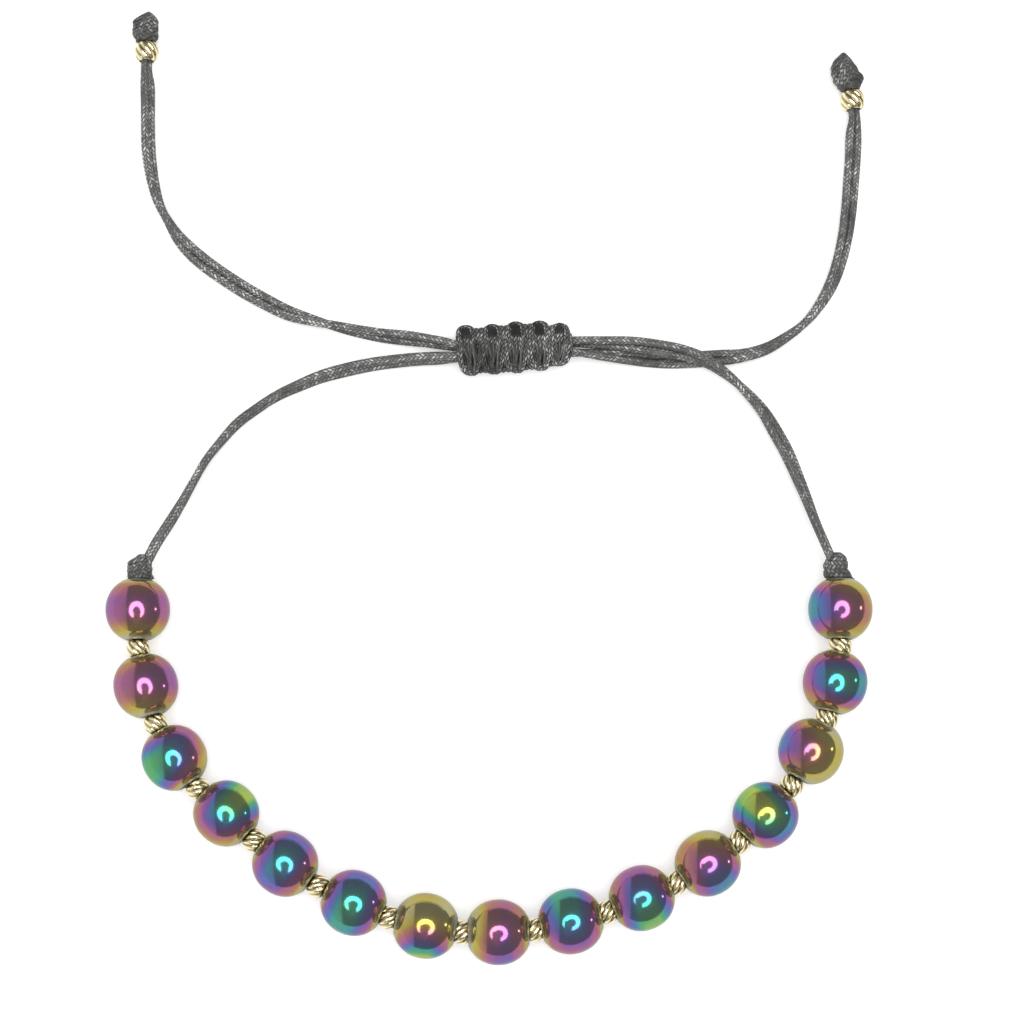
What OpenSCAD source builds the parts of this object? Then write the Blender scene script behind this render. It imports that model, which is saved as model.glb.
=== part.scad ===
// A cord bracelet with a sliding closure, lying on a table.
// Fifteen coated round beads and fourteen small twisted beads are strung between two stop knots.
// From each stop knot the doubled cord runs in a loop to a slider of flat knots, on through it,
// and along the table to a small twisted bead and an end knot.
// +X is to the right, +Y away from the beads' side, +Z up from the table.

/* [Round beads] */
// Diameter of a round bead across its drill hole
bead_d = 6; // [5.8:0.1:6]
// Length of a round bead along its drill hole
bead_len = 5.6; // [5.4:0.1:5.6]
// Radius of the flat at each drilled end
bead_flat_r = 1.2; // [1.2:0.05:1.3]
// How far the profile swells past an ellipse's towards the ends, 2 for an ellipse
bead_fullness = 2.1; // [2:0.05:2.5]
// Diameter of the drill hole
hole_d = 1.4; // [1.35:0.05:1.4]

/* [Twisted beads] */
// Diameter over the ridges of a twisted bead on the string
spacer_d = 2.2; // [2:0.05:2.3]
// Length of a twisted bead on the string
spacer_len = 1.6; // [1.5:0.05:1.65]
// Diameter over the ridges of the bead at each free end
end_bead_d = 2.3; // [2.25:0.05:2.4]
// Length of the bead at each free end
end_bead_len = 1.9; // [1.8:0.05:2]
// Turn of the ridges from one end of a twisted bead to the other, in degrees
ridge_twist = 90; // [60:5:120]

/* [Cord] */
// Diameter of one strand of the doubled cord
strand_d = 0.8; // [0.7:0.05:0.8]
// Diameter of a strand where the drill holes squeeze it
thread_d = 0.6; // [0.5:0.05:0.62]

/* [Slider] */
// Length of the row of flat knots
slider_len = 10.8; // [10.6:0.1:11]
// How far the waists between the side loops lie inside them
waist = 0.4; // [0.2:0.05:0.5]
// Thickness, from the table up
slider_h = 3.2; // [3.1:0.05:3.4]

/* [Hidden] */
N_BEADS = 15;
N_SPACERS = N_BEADS - 1;
EACH_BEAD = [0 : N_BEADS - 1];
EACH_SPACER = [0 : N_SPACERS - 1];
function digits(i) = str(i < 10 ? "0" : "", i);
function bead_name(i) = str("bead_", digits(i + 1));
function spacer_name(i) = str("spacer_", digits(i + 1));

bead_r = bead_d / 2;
hole_r = hole_d / 2;
strand_r = strand_d / 2;
// The middles of a pair's two strands lie this far apart
strand_pitch = 0.84;
// The drill hole opens at this chamfer, in which the twisted bead's end sits
chamfer = 0.48;
nest = 0.25;
// Free room around a strand or thread in what holds it
room = 0.05;
SIDES = 8;
BORE_FN = 48;

// The string runs from the left stop knot round to the right one.
// One heading in degrees for each step: knot to bead, bead to bead fourteen times, bead to knot
headings = [-93, -83, -67.5, -46.5, -40, -29.5, -17.5, -5, 8.5, 18, 27.5, 39.5, 54, 70, 85, 90];
// Slack left in each step from a bead to the next
slacks = [0.45, 0.5, 0.35, 0.45, 0.55, 0.25, 0, 0, 0.15, 0.15, 0.25, 0.55, 0.1, 0.15];
snug_pitch = bead_len + spacer_len - 2 * nest;
first_bead = [-32.7, -12.7, bead_r];

function way(a) = [cos(a), sin(a), 0];
function bead_at(i) =
    i == 0 ? first_bead : bead_at(i - 1) + (snug_pitch + slacks[i - 1]) * way(headings[i]);
function bead_heading(i) = (headings[i] + headings[i + 1]) / 2;
bead_places = [for (i = EACH_BEAD) bead_at(i)];
last = N_BEADS - 1;

function past(place, heading, distance) = place + distance * way(heading);
// The middle of a round bead's drilled end, side 1 where the string leaves it and -1 where it enters
function hole_end(i, side) = past(bead_places[i], bead_heading(i), side * bead_len / 2);

// A stop knot starts just past the outer end of its bead, square to the drill hole
left_knot_heading = bead_heading(0) + 180;
right_knot_heading = bead_heading(last);
left_knot_base = past(hole_end(0, -1), left_knot_heading, room);
right_knot_base = past(hole_end(last, 1), right_knot_heading, room);

// The slider lies with its axis turned a little from X. The two doubled cords run through it side by side.
slider_at = [2.3, 12.3];
slider_turn = 3;
// Half widths over the side loops, from the left, on the far side and on the beads' side
side_loops = [[2.4, 2.5], [2.4, 2.4], [2.5, 2.35], [2.5, 2.25], [2.25, 1.9]];
lane = 0.65;
lane_lift = 0.8;
mouth = slider_len / 2 + 0.1;
function lane_row(along, across, turn) =
    [slider_at[0] + along * cos(slider_turn) - across * sin(slider_turn),
     slider_at[1] + along * sin(slider_turn) + across * cos(slider_turn), lane_lift, turn];

// Each free end runs straight through its bead
end_bead_left_at = [-33, 41.4, end_bead_d / 2];
end_bead_right_at = [34.75, 36.6, end_bead_d / 2];
end_bead_left_heading = 90;
end_bead_right_heading = 96;
squeeze = thread_d / strand_d;
function bead_row(at, heading, distance, turn) =
    let (p = past(at, heading, distance))
    [p[0], p[1], at[2] - strand_r - squeeze * strand_pitch / 2 * abs(sin(turn)), turn, squeeze];

// A doubled cord's route, one row for each point: x, y, lift of the lower strand off the table,
// turn of the pair in degrees, 0 side by side and 90 one above the other, and any squeeze
left_route = concat(
    [[-32.1, -8.5, 2.2, 66], [-31.1, -6.4, 1.9, 62], [-30.0, -4.4, 1.2, 62], [-28.9, -2.3, 0.5, 72],
     [-27.9, -0.3, 0.1, 80], [-26.8, 1.7, 0, 80], [-25.4, 3.5, 0, 86], [-23.9, 5.2, 0, 94],
     [-22.1, 6.6, 0, 94], [-20.1, 7.9, 0, 96], [-18.0, 8.9, 0, 106], [-15.8, 9.8, 0, 116],
     [-13.6, 10.4, 0, 122], [-11.3, 10.9, 0, 120], [-9.0, 11.2, 0.1, 118], [-6.8, 11.35, 0.4, 116],
     [-4.6, 11.4, 0.7, 114]],
    [lane_row(-mouth, -0.54, 98), lane_row(mouth, -0.58, 87)],
    [[10.6, 11.88, 0.5, 68], [12.8, 11.7, 0.2, 38], [15.0, 11.55, 0, 14], [17.2, 11.45, 0, 0],
     [19.4, 11.5, 0, 0], [21.6, 11.6, 0, 10], [23.9, 11.8, 0, 40], [26.1, 12.4, 0, 54],
     [28.2, 13.6, 0, 72], [30.0, 15.0, 0, 88], [31.5, 16.9, 0, 108], [32.6, 18.9, 0, 128],
     [33.4, 21.2, 0, 140], [33.95, 23.6, 0, 148], [34.3, 26.0, 0, 156], [34.55, 28.6, 0, 162],
     [34.75, 31.0, 0.1, 162], [34.85, 33.4, 0.3, 158]],
    [for (distance = [-1.6, -1.1, 1.4])
        bead_row(end_bead_right_at, end_bead_right_heading, distance, 156)]);
right_route = concat(
    [[32.1, -8.4, 2.2, 104], [31.3, -6.4, 1.9, 104], [30.5, -4.2, 1.2, 106], [29.8, -2.0, 0.5, 116],
     [29.0, 0.2, 0.1, 128], [28.1, 2.4, 0, 140], [27.0, 4.5, 0, 142], [25.8, 6.5, 0, 126],
     [24.2, 8.3, 0.2, 108], [22.4, 9.8, 0.75, 86], [20.4, 11.1, 0.95, 62], [18.2, 11.9, 0.95, 36],
     [15.9, 12.4, 0.95, 32], [13.6, 12.7, 0.95, 46], [11.2, 12.9, 0.85, 70]],
    [lane_row(mouth, 0.4, 83), lane_row(-mouth, 0.54, 82)],
    [[-4.4, 12.7, 0.75, 68], [-5.9, 12.95, 0.6, 64],
     [-7.8, 13.3, 0.3, 48], [-10.1, 13.7, 0, 56], [-12.4, 14.1, 0, 70],
     [-14.6, 14.6, 0, 88], [-16.9, 15.2, 0, 122], [-19.1, 15.9, 0, 152], [-21.3, 17.0, 0, 166],
     [-23.4, 18.2, 0, 178], [-25.4, 19.5, 0, 182], [-27.2, 20.8, 0, 188], [-28.6, 22.0, 0, 212],
     [-29.7, 23.2, 0, 238], [-30.6, 24.6, 0, 262], [-31.6, 26.5, 0, 278], [-32.25, 28.8, 0, 294],
     [-32.65, 31.2, 0, 308], [-32.8, 33.6, 0, 308], [-32.85, 36.0, 0, 308], [-32.9, 38.2, 0.2, 310]],
    [for (distance = [-1.6, -1.1, 1.4])
        bead_row(end_bead_left_at, end_bead_left_heading, distance, 314)]);

// A knot's shape, one row for each section along it from the end next to its bead:
// distance along, half width, half height, and shift of the section to the right of the way along
left_stop_sections = [[0, 1.16, 1.17, 0.36], [0.4, 1.12, 1.15, 0.3], [0.7, 1.13, 1.2, 0.22],
    [0.95, 1.12, 1.1, 0.3], [1.25, 1.14, 1.15, 0.3], [1.55, 1.08, 1.1, 0.24], [1.85, 0.84, 0.95, 0.4],
    [2.1, 0.52, 0.7, 0.48], [2.3, 0.26, 0.4, 0.45]];
right_stop_sections = [[0, 1.36, 1.19, -0.24], [0.4, 1.25, 1.15, -0.42], [0.7, 1.18, 1.1, -0.52],
    [1.05, 1.12, 1.15, -0.6], [1.35, 1.1, 1.15, -0.58], [1.6, 1.05, 1.1, -0.54],
    [1.85, 0.92, 1, -0.52], [2.15, 0.7, 0.8, -0.48], [2.4, 0.4, 0.5, -0.42]];
left_end_sections = [[0, 0.96, 0.95, -0.06], [0.45, 1.14, 1.05, -0.06], [1, 1.24, 1.08, -0.15],
    [1.4, 1.18, 1.04, -0.11], [1.75, 1.25, 1.08, -0.15], [2.15, 1.14, 1, -0.09],
    [2.5, 0.8, 0.85, 0.03], [2.8, 0.42, 0.5, 0.12], [3, 0.12, 0.2, 0.16]];
right_end_sections = [[0, 0.95, 0.9, -0.1], [0.35, 1.12, 1.04, -0.14], [0.95, 1.46, 1.08, -0.1],
    [1.35, 1.46, 1.08, -0.14], [1.7, 1.36, 1.06, -0.28], [2.2, 1.26, 1.04, -0.4],
    [2.7, 1.02, 0.9, -0.43], [3.1, 0.76, 0.7, -0.42], [3.45, 0.42, 0.42, -0.33],
    [3.75, 0.14, 0.15, -0.28]];
end_knot_left_base = past(end_bead_left_at, end_bead_left_heading, end_bead_len / 2 + room);
end_knot_right_base = past(end_bead_right_at, end_bead_right_heading, end_bead_len / 2 + room);

function unit(v) = v / norm(v);
// Level and to the right of the way t, and square to both and upwards
function right_of(t) = unit(cross(t, [0, 0, 1]));
function over(t) = cross(right_of(t), t);
// The way along a row of points at point k
function way_at(points, k) =
    unit(points[min(k + 1, len(points) - 1)] - points[max(k - 1, 0)]);

// The faces of a closed skin over count rings of n points each
function skin_faces(count, n) = concat(
    [for (k = [0 : count - 2], j = [0 : n - 1])
        [k * n + j, k * n + (j + 1) % n, (k + 1) * n + (j + 1) % n]],
    [for (k = [0 : count - 2], j = [0 : n - 1])
        [k * n + j, (k + 1) * n + (j + 1) % n, (k + 1) * n + j]],
    [[for (j = [n - 1 : -1 : 0]) j]],
    [[for (j = [0 : n - 1]) (count - 1) * n + j]]);

// A tube along the points, with SIDES sides and a ring at each point of that point's radius
module tube(points, radii) {
    rings = [for (k = [0 : len(points) - 1], j = [0 : SIDES - 1])
        let (t = way_at(points, k), a = (j + 0.5) * 360 / SIDES)
        points[k] + radii[k] * (cos(a) * right_of(t) + sin(a) * over(t))];
    polyhedron(rings, skin_faces(len(points), SIDES));
}

function squeeze_at(row) = len(row) > 4 ? row[4] : 1;
// The middles of one strand, sign 1 or -1, along a doubled cord's route
function strand_points(route, sign) =
    let (flat = [for (p = route) [p[0], p[1], 0]])
    [for (k = [0 : len(route) - 1])
        let (turn = route[k][3], half = squeeze_at(route[k]) * strand_pitch / 2,
             out = right_of(way_at(flat, k)))
        flat[k] + [0, 0, strand_r + route[k][2] + half * abs(sin(turn))]
            + sign * half * (cos(turn) * out + [0, 0, sin(turn)])];

// The middles of one thread through the string of beads, straight inside each round bead
function thread_points(sign) =
    let (half = thread_d / 2 + room / 2,
         middles = concat(
            [past(left_knot_base, left_knot_heading, 0.4)],
            [for (i = EACH_BEAD, side = [-1, 1]) hole_end(i, side)],
            [past(right_knot_base, right_knot_heading, 0.4)]))
    [for (k = [0 : len(middles) - 1]) middles[k] + sign * half * right_of(way_at(middles, k))];

// An eight-sided hole from the end of a row of points outwards, just deeper than that end
module socket(points, k, r) {
    t = way_at(points, k);
    out = k == 0 ? t : -t;
    a = atan2(out[1], out[0]);
    translate(points[k] - room * out)
        rotate([0, 90 - asin(out[2]), a])
            rotate([0, 0, 180 / SIDES]) cylinder(r = r, h = 3, $fn = SIDES);
}

module put(place, heading) {
    translate(place) rotate([0, 0, heading]) children();
}

// A round bead lies along X: a full profile turned about its drill hole
module round_bead() {
    half_len = bead_len / 2;
    n = bead_fullness;
    reach = half_len / pow(1 - pow(bead_flat_r / bead_r, n), 1 / n);
    last_step = 10;
    function swell(u) = bead_r * pow(1 - pow(abs(u) / reach, n), 1 / n);
    profile = concat(
        [[hole_r, -half_len + chamfer], [hole_r + chamfer, -half_len]],
        [for (k = [-last_step : last_step])
            let (u = half_len * sin(90 * k / last_step)) [swell(u), u]],
        [[hole_r + chamfer, half_len], [hole_r, half_len - chamfer]]);
    rotate([0, 90, 0]) rotate_extrude($fn = 96) polygon(profile);
}

// A twisted bead lies along X: ridges and grooves wind round a barrel
module twisted_bead(d, length, bore_r) {
    n = 12;
    end_share = 0.65;
    groove = 0.88;
    stations = [-1, -0.8, -0.35, 0.35, 0.8, 1];
    rings = [for (u = stations, j = [0 : n - 1])
        let (r = d / 2 * (end_share + (1 - end_share) * pow(1 - u * u, 0.65)),
             a = 360 * j / n + ridge_twist * u / 2,
             rr = r * (j % 2 == 0 ? 1 : groove + (1 - groove) * abs(u)))
        [u * length / 2, -rr * cos(a), rr * sin(a)]];
    difference() {
        polyhedron(rings, skin_faces(len(stations), n));
        rotate([0, 90, 0]) cylinder(r = bore_r, h = 2 * length, center = true, $fn = BORE_FN);
    }
}

// A knot's body along X from its base, skinned over its sections, with a spiral of shallow lumps
module knot_body(sections) {
    n = 14;
    lumps = 3;
    lump_h = 0.06;
    rings = [for (k = [0 : len(sections) - 1], j = [0 : n - 1])
        let (s = sections[k], a = 360 * j / n, swell = 1 + lump_h * sin(lumps * a + 150 * k))
        [s[0], -(s[1] * cos(a) * swell + s[3]), s[2] * sin(a) * swell]];
    polyhedron(rings, skin_faces(len(sections), n));
}

// The slider along X: pairs of side loops on a thick flat core
module slider_body() {
    loops = len(side_loops);
    n = 20;
    steps = 6 * loops;
    square = 0.7;
    function signed_pow(v, p) = sign(v) * pow(abs(v), p);
    function end_round(u) = pow(1 - pow(abs(u), 10), 0.5);
    rings = [for (k = [0 : steps], j = [0 : n - 1])
        let (u = -1 + 2 * k / steps, a = 360 * j / n,
             hollow = 1 - abs(sin(180 * loops * k / steps)),
             widths = side_loops[min(floor(k * loops / steps), loops - 1)],
             half_w = (widths[cos(a) > 0 ? 1 : 0] - waist * hollow) * (0.6 + 0.4 * end_round(u)),
             half_h = (slider_h / 2 - 0.25 * waist * hollow) * (0.8 + 0.2 * end_round(u)))
        [u * slider_len / 2, -half_w * signed_pow(cos(a), square),
         half_h * signed_pow(sin(a), square)]];
    polyhedron(rings, skin_faces(steps + 1, n));
}

// The way through the slider for both doubled cords, in its cross-section
module lanes() {
    half_w = lane + strand_r + room;
    half_h = (strand_pitch + strand_d) / 2 + room;
    corner = 0.4;
    square([2 * half_w, 2 * (half_h - corner)], center = true);
    square([2 * (half_w - corner), 2 * half_h], center = true);
    for (x = [-1, 1], y = [-1, 1])
        translate([x * (half_w - corner), y * (half_h - corner)]) circle(corner, $fn = BORE_FN);
}

module bead(i) {
    tints = ["orchid", "orchid", "teal", "olivedrab", "teal"];
    color(tints[i % 5]) put(bead_places[i], bead_heading(i)) round_bead();
}

module spacer(i) {
    from = hole_end(i, 1);
    to = hole_end(i + 1, -1);
    heading = atan2(to[1] - from[1], to[0] - from[0]);
    color("darkkhaki") put((from + to) / 2, heading) twisted_bead(spacer_d, spacer_len, hole_r);
}

module bead_thread(sign) {
    points = thread_points(sign);
    color("dimgray") tube(points, [for (p = points) thread_d / 2]);
}

module strand(route, sign) {
    color("dimgray")
        tube(strand_points(route, sign), [for (row = route) squeeze_at(row) * strand_r]);
}

module stop_knot(base, heading, sections, route, thread_end) {
    color("dimgray") difference() {
        put(base, heading) knot_body(sections);
        for (sign = [-1, 1]) {
            socket(strand_points(route, sign), 0, strand_r + room);
            threads = thread_points(sign);
            socket(threads, thread_end == 0 ? 0 : len(threads) - 1, thread_d / 2 + room);
        }
    }
}

module slider_knot() {
    middle_h = strand_r + lane_lift + strand_pitch / 2;
    color("dimgray") put([slider_at[0], slider_at[1], 0], slider_turn) difference() {
        translate([0, 0, slider_h / 2]) slider_body();
        translate([0, 0, middle_h]) rotate([90, 0, 90])
            linear_extrude(2 * slider_len, center = true) lanes();
    }
}

module end_bead(place, heading) {
    bore_r = squeeze * (strand_pitch / 2 + strand_r) + room;
    color("darkkhaki") put(place, heading) twisted_bead(end_bead_d, end_bead_len, bore_r);
}

module end_knot(base, heading, sections, route) {
    color("dimgray") difference() {
        put(base, heading) knot_body(sections);
        for (sign = [-1, 1])
            socket(strand_points(route, sign), len(route) - 1, squeeze * strand_r + room);
    }
}

for (i = EACH_BEAD)
    bead(i);
for (i = EACH_SPACER)
    spacer(i);
bead_thread(1);  // bead_thread_a
bead_thread(-1);  // bead_thread_b
stop_knot(left_knot_base, left_knot_heading, left_stop_sections, left_route, 0);  // stop_knot_left
stop_knot(right_knot_base, right_knot_heading, right_stop_sections, right_route, 1);  // stop_knot_right
strand(left_route, 1);  // left_strand_a
strand(left_route, -1);  // left_strand_b
strand(right_route, 1);  // right_strand_a
strand(right_route, -1);  // right_strand_b
slider_knot();
end_bead(end_bead_left_at, end_bead_left_heading);  // end_bead_left
end_bead(end_bead_right_at, end_bead_right_heading);  // end_bead_right
end_knot(end_knot_left_base, end_bead_left_heading, left_end_sections, right_route);  // end_knot_left
end_knot(end_knot_right_base, end_bead_right_heading, right_end_sections, left_route);  // end_knot_right
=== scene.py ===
"""Adjustable cord bracelet with fifteen coated round beads, laid flat on a white table.

Shapes are worked out in millimetres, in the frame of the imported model, and go into the meshes in metres.
The camera and the lamps are placed in metres. Headings run anticlockwise from X, in degrees.
"""

import math

import bpy
import numpy as np
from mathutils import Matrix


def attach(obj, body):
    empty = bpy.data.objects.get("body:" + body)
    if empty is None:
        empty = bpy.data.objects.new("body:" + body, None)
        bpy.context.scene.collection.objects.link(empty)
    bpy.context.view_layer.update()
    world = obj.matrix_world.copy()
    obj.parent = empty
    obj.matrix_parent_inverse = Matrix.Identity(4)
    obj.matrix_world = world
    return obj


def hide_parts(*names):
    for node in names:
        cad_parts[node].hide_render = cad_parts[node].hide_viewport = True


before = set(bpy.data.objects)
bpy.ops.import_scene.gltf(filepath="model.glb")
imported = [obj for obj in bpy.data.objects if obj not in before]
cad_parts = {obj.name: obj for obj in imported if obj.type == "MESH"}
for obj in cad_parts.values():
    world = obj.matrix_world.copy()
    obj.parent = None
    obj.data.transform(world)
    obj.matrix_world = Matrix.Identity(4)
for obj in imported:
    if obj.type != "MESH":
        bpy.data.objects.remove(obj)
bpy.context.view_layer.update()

MM = 0.001

# ---------------------------------------------------------------- the route of the cords
# Sizes and rows are the source's but for TOUCH, and for rows near the slider. Those lie up to 0.13 mm beside
# the source's and turn a pair by up to 16 degrees less, so that no slit shows, and the slider has two more.
BEAD_LENGTH = 5.6
BEAD_R = 3.0
BEAD_FLAT_R = 1.2
BEAD_FULLNESS = 2.1
HOLE_R = 0.7
STRAND_R = 0.4
PAIR_HALF = 0.42
THREAD_R = 0.3
TOUCH = 0.95
ROOM = 0.05
# The string's headings before, between and after the beads, and the slack past SNUG_PITCH between two beads
HEADINGS = [-93, -83, -67.5, -46.5, -40, -29.5, -17.5, -5, 8.5, 18, 27.5, 39.5, 54, 70, 85, 90]
SLACKS = [0.45, 0.5, 0.35, 0.45, 0.55, 0.25, 0, 0, 0.15, 0.15, 0.25, 0.55, 0.1, 0.15]
SNUG_PITCH = 6.7
SLIDER_AT = np.array([2.3, 12.3])
SLIDER_TURN = 3
LANE_LIFT = 0.8
MOUTH = 5.5
END_BEAD_LENGTH = 1.9
END_BEAD_D = 2.3
END_BEADS = {"left": ((-33.0, 41.4, 1.15), 90), "right": ((34.75, 36.6, 1.15), 96)}
SQUEEZE = 0.75
SPACER_LENGTH = 1.6
SPACER_D = 2.2
END_BORE_R = 0.665
THREAD_HALF = 0.325


def directions(heading):
    """The directions ahead and to the right of a heading in the plane of the table."""
    a = math.radians(heading)
    return np.array([math.cos(a), math.sin(a), 0]), np.array([math.sin(a), -math.cos(a), 0])


def past(place, heading, distance):
    """The point that lies a distance further on a heading in the plane of the table."""
    return np.asarray(place, float) + distance * directions(heading)[0]


def lane_row(along, across, turn):
    """A row of the route in the slider: a place along and across it, with the pair stood about on edge."""
    c, s = math.cos(math.radians(SLIDER_TURN)), math.sin(math.radians(SLIDER_TURN))
    return [SLIDER_AT[0] + along * c - across * s, SLIDER_AT[1] + along * s + across * c, LANE_LIFT, turn, 1]


def end_bead_row(side, distance, turn):
    """A row of the route in an end bead, where the pair is squeezed and centred on the hole."""
    place, heading = END_BEADS[side]
    x, y, z = past(place, heading, distance)
    return [x, y, z - STRAND_R - SQUEEZE * PAIR_HALF * abs(math.sin(math.radians(turn))), turn, SQUEEZE]


def rows(*listed):
    """Rows of x, y, lift over the table and turn of the pair, with no squeeze."""
    return [[*row, 1] for row in listed]


LEFT_ROUTE = [
    *rows((-32.1, -8.5, 2.2, 66), (-31.1, -6.4, 1.9, 62), (-30.0, -4.4, 1.2, 62), (-28.9, -2.3, 0.5, 72),
          (-27.9, -0.3, 0.1, 80), (-26.8, 1.7, 0, 80), (-25.4, 3.5, 0, 86), (-23.9, 5.2, 0, 94),
          (-22.1, 6.6, 0, 94), (-20.1, 7.9, 0, 96), (-18.0, 8.9, 0, 106), (-15.8, 9.8, 0, 116),
          (-13.6, 10.4, 0, 122), (-11.3, 10.9, 0, 120), (-9.0, 11.2, 0.1, 118), (-6.8, 11.35, 0.4, 116),
          (-4.6, 11.4, 0.7, 114)),
    *[lane_row(*place) for place in ((-MOUTH, -0.54, 98), (-2, -0.55, 94), (2, -0.6, 90), (MOUTH, -0.66, 87))],
    *rows((10.6, 11.77, 0.5, 52), (12.8, 11.66, 0.2, 26), (15.0, 11.5, 0, 4), (17.2, 11.37, 0, 0),
          (19.4, 11.44, 0, 0), (21.6, 11.6, 0, 10), (23.9, 11.8, 0, 40), (26.1, 12.4, 0, 54),
          (28.2, 13.6, 0, 72), (30.0, 15.0, 0, 88), (31.5, 16.9, 0, 108), (32.6, 18.9, 0, 128),
          (33.4, 21.2, 0, 140), (33.95, 23.6, 0, 148), (34.3, 26.0, 0, 156), (34.55, 28.6, 0, 162),
          (34.75, 31.0, 0.1, 162), (34.85, 33.4, 0.3, 158)),
    *[end_bead_row("right", distance, 156) for distance in (-1.6, -1.1, 1.4)],
]
RIGHT_ROUTE = [
    *rows((32.1, -8.4, 2.2, 104), (31.3, -6.4, 1.9, 104), (30.5, -4.2, 1.2, 106), (29.8, -2.0, 0.5, 116),
          (29.0, 0.2, 0.1, 128), (28.1, 2.4, 0, 140), (27.0, 4.5, 0, 142), (25.8, 6.5, 0, 126),
          (24.2, 8.3, 0.2, 108), (22.4, 9.8, 0.75, 86), (20.4, 11.1, 0.95, 62), (18.2, 11.9, 0.95, 36),
          (15.9, 12.36, 0.95, 20), (13.6, 12.66, 0.95, 34), (11.2, 12.82, 0.85, 62)),
    *[lane_row(*place) for place in ((MOUTH, 0.34, 83), (2, 0.42, 82), (-2, 0.49, 82), (-MOUTH, 0.54, 82))],
    *rows((-4.4, 12.8, 0.75, 68), (-5.9, 13.08, 0.6, 62), (-7.8, 13.4, 0.3, 48), (-10.1, 13.7, 0, 56),
          (-12.4, 14.1, 0, 70), (-14.6, 14.6, 0, 88), (-16.9, 15.2, 0, 122), (-19.1, 15.9, 0, 152),
          (-21.3, 17.0, 0, 166), (-23.4, 18.2, 0, 178), (-25.4, 19.5, 0, 182), (-27.2, 20.8, 0, 188),
          (-28.6, 22.0, 0, 212), (-29.7, 23.2, 0, 238), (-30.6, 24.6, 0, 262), (-31.6, 26.5, 0, 278),
          (-32.25, 28.8, 0, 294), (-32.65, 31.2, 0, 308), (-32.8, 33.6, 0, 308), (-32.85, 36.0, 0, 308),
          (-32.9, 38.2, 0.2, 310)),
    *[end_bead_row("left", distance, 314) for distance in (-1.6, -1.1, 1.4)],
]


# ---------------------------------------------------------------- surfaces from rings of points
# Steps along each kind of line, and the points in a ring of each kind
STRAND_STEP, THREAD_STEP, KNOT_STEP, WINDING_STEP = 0.075, 0.2, 0.05, 0.09
STRAND_SIDES, THREAD_SIDES, KNOT_SIDES, WINDING_SIDES, BEAD_SIDES, GOLD_SIDES = 40, 16, 96, 24, 80, 96


def angles(count):
    """The angles of a ring of points."""
    return 2 * np.pi * np.arange(count) / count


def circles(heading, along, radii):
    """Rings of points about a line on a heading. Ring i lies along[i] ahead, and its point j is
    radii[i, j] out, from the right side up and over."""
    ahead, right = directions(heading)
    t = angles(radii.shape[1])[:, None]
    return along[:, None, None] * ahead + radii[..., None] * (np.cos(t) * right + np.sin(t) * [0, 0, 1])


def unit(vectors):
    """Each vector divided by its own length."""
    return vectors / np.linalg.norm(vectors, axis=-1, keepdims=True)


def smooth_rows(listed, step, flat=2, loop=False):
    """A smooth curve through rows of numbers. Between two rows it is a cubic, and the slope at a row is the
    mean of the slopes before and after it, each weighted by the length of the other. Distances are taken
    over the first columns, and the points that come back are about a step apart."""
    listed = np.array(listed, float)
    if loop:
        listed = np.vstack([listed[-2:], listed, listed[:3]])
    gaps = np.linalg.norm(np.diff(listed[:, :flat], axis=0), axis=1)
    place = np.concatenate([[0], np.cumsum(gaps)])
    slopes = np.diff(listed, axis=0) / gaps[:, None]
    inner = (slopes[1:] * gaps[:-1, None] + slopes[:-1] * gaps[1:, None]) / (gaps[1:] + gaps[:-1])[:, None]
    bends = np.vstack([slopes[:1], inner, slopes[-1:]])
    first, last = (place[2], place[-3]) if loop else (0, place[-1])
    at = np.linspace(first, last, int((last - first) / step) + 2)
    if loop:
        at = at[:-1]
    k = np.clip(np.searchsorted(place, at, side="right") - 1, 0, len(gaps) - 1)
    h = gaps[k][:, None]
    t = (at - place[k])[:, None] / h
    return ((2 * t**3 - 3 * t**2 + 1) * listed[k] + (t**3 - 2 * t**2 + t) * h * bends[k]
            + (3 * t**2 - 2 * t**3) * listed[k + 1] + (t**3 - t**2) * h * bends[k + 1])


def wander(along, seed, reach):
    """A slow, seeded wave along a length: three sines with wavelengths from 3 to 17 mm."""
    draw = np.random.default_rng(seed)
    waves = [(draw.uniform(3, 6), draw.uniform(0, 7)), (draw.uniform(6, 10), draw.uniform(0, 7)),
             (draw.uniform(10, 17), draw.uniform(0, 7))]
    return reach / 3 * sum(np.sin(2 * np.pi * along / length + start) for length, start in waves)


def join(skins):
    """Several skins in one. Each is a tuple of points, faces of four, faces of three, the corner pairs of
    both kinds and the points' marks."""
    points, quads, fans, quad_uv, fan_uv, marks, count = [], [], [], [], [], [], 0
    for skin in skins:
        points.append(skin[0])
        quads.append(skin[1] + count)
        fans.append(skin[2] + count)
        quad_uv.append(skin[3])
        fan_uv.append(skin[4])
        marks.append(skin[5])
        count += len(skin[0])
    return (np.vstack(points), np.vstack(quads), np.vstack(fans), np.vstack(quad_uv), np.vstack(fan_uv),
            np.concatenate(marks))


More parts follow.
